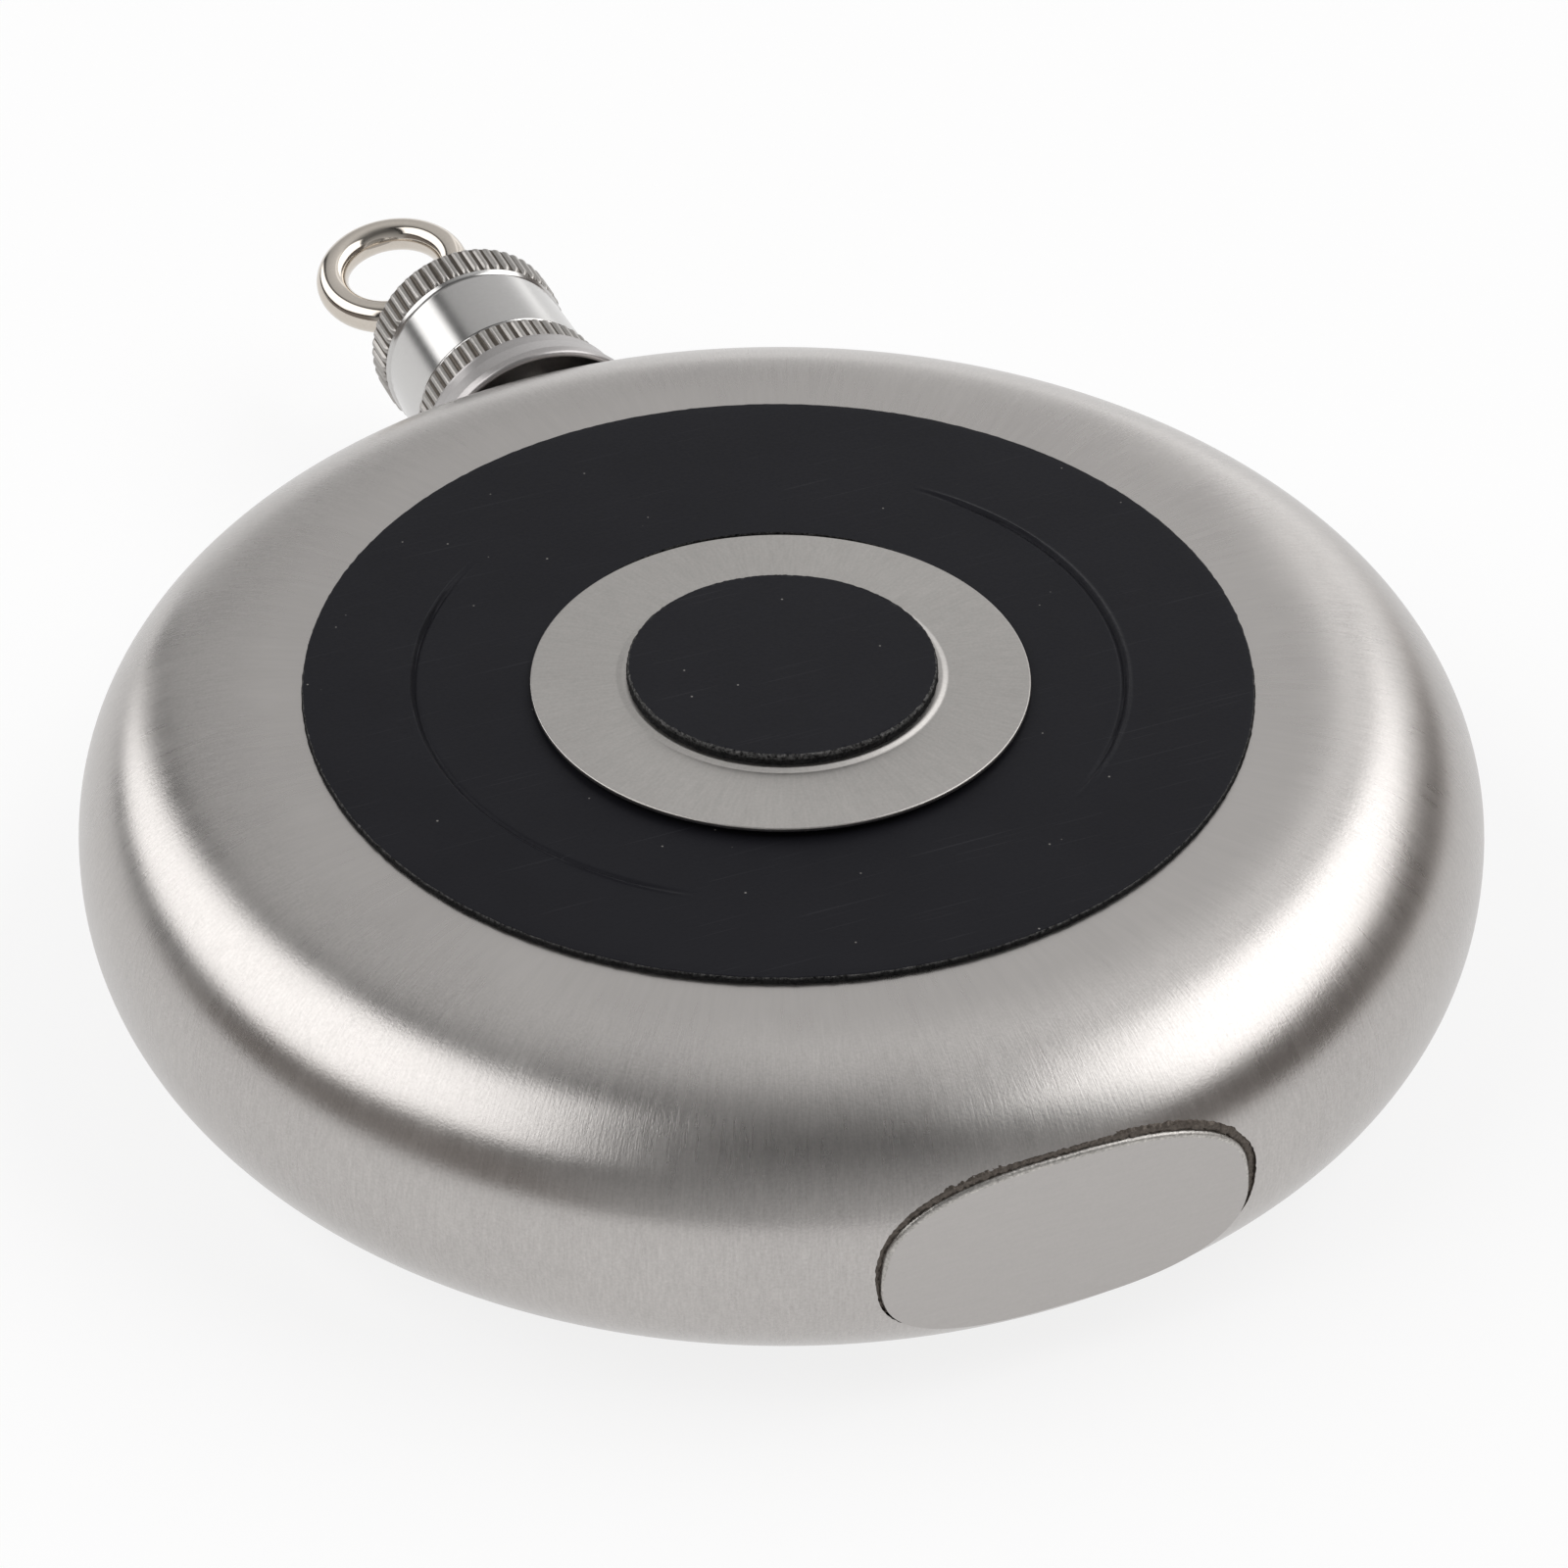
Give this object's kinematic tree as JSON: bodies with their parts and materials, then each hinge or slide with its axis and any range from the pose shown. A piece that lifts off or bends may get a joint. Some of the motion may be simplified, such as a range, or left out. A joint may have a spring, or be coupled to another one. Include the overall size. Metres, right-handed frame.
{
  "type": "camping flask",
  "caption": "Round flat steel drinking flask with a knurled screw cap and swivel eye on its rim, a flat oval foot, and a collapsible cup stowed under a lid in its leatherette-faced front.",
  "frame": {"origin": "middle of the flat rear face, on the surface that the flask lies on", "axes": "+Z out of the front face, +Y from the middle of the body towards the cap, +X to the right seen from the front"},
  "size_m": [0.1198, 0.1558, 0.0304],
  "materials": {
    "shell_steel": "satin brushed",
    "cup_steel": "bright drawn",
    "cap_chrome": "polished",
    "eye_nickel": "polished",
    "leatherette": "semi-gloss",
    "liner_plastic": "moulded",
    "seal_silicone": "matte"
  },
  "bodies": {
    "flask": {"front_shell": "shell_steel", "rear_shell": "shell_steel", "foot_plate": "shell_steel", "cup_well": "shell_steel", "face_ring": "leatherette", "neck_spout": "cup_steel", "neck_collar": "cap_chrome"},
    "cap_seal": {"cap_gasket": "seal_silicone"},
    "cap": {"cap_shell": "cap_chrome", "cap_liner": "liner_plastic"},
    "eye": {"cap_eye": "eye_nickel", "eye_washer": "cup_steel"},
    "cup_base": {"cup_floor": "cup_steel", "cup_base_ring": "cup_steel"},
    "cup_lower": {"cup_lower_ring": "cup_steel"},
    "cup_upper": {"cup_upper_ring": "cup_steel"},
    "cup_rim": {"cup_rim_ring": "cup_steel"},
    "lid": {"cup_lid": "cup_steel", "lid_pad": "leatherette"}
  },
  "joints": [
    {"name": "cap_rise", "type": "slide", "parent": "flask", "child": "cap_seal", "axis": [0, 1, 0], "range_m": [0, 0.00785]},
    {"name": "cap_turn", "type": "hinge", "parent": "cap_seal", "child": "cap", "pos_m": [0, 0.07, 0.0141], "axis": [0, 1, 0], "range_deg": [0, 1170]},
    {"name": "eye_swivel", "type": "hinge", "parent": "cap", "child": "eye", "pos_m": [0, 0.08, 0.0141], "axis": [0, 1, 0], "continuous": true},
    {"name": "cup_lift", "type": "slide", "parent": "flask", "child": "cup_base", "axis": [0, 0, 1], "range_m": [0, 0.0265]},
    {"name": "cup_lower_slide", "type": "slide", "parent": "cup_base", "child": "cup_lower", "axis": [0, 0, 1], "range_m": [0, 0.017]},
    {"name": "cup_upper_slide", "type": "slide", "parent": "cup_lower", "child": "cup_upper", "axis": [0, 0, 1], "range_m": [0, 0.017]},
    {"name": "cup_rim_slide", "type": "slide", "parent": "cup_upper", "child": "cup_rim", "axis": [0, 0, 1], "range_m": [0, 0.017]},
    {"name": "lid_lift", "type": "slide", "parent": "cup_rim", "child": "lid", "axis": [0, 0, 1], "range_m": [0, 0.02]}
  ],
  "couplings": [
    {"joint": "cap_rise", "follows": "cap_turn", "m_per_rad": 0.00038197}
  ]
}
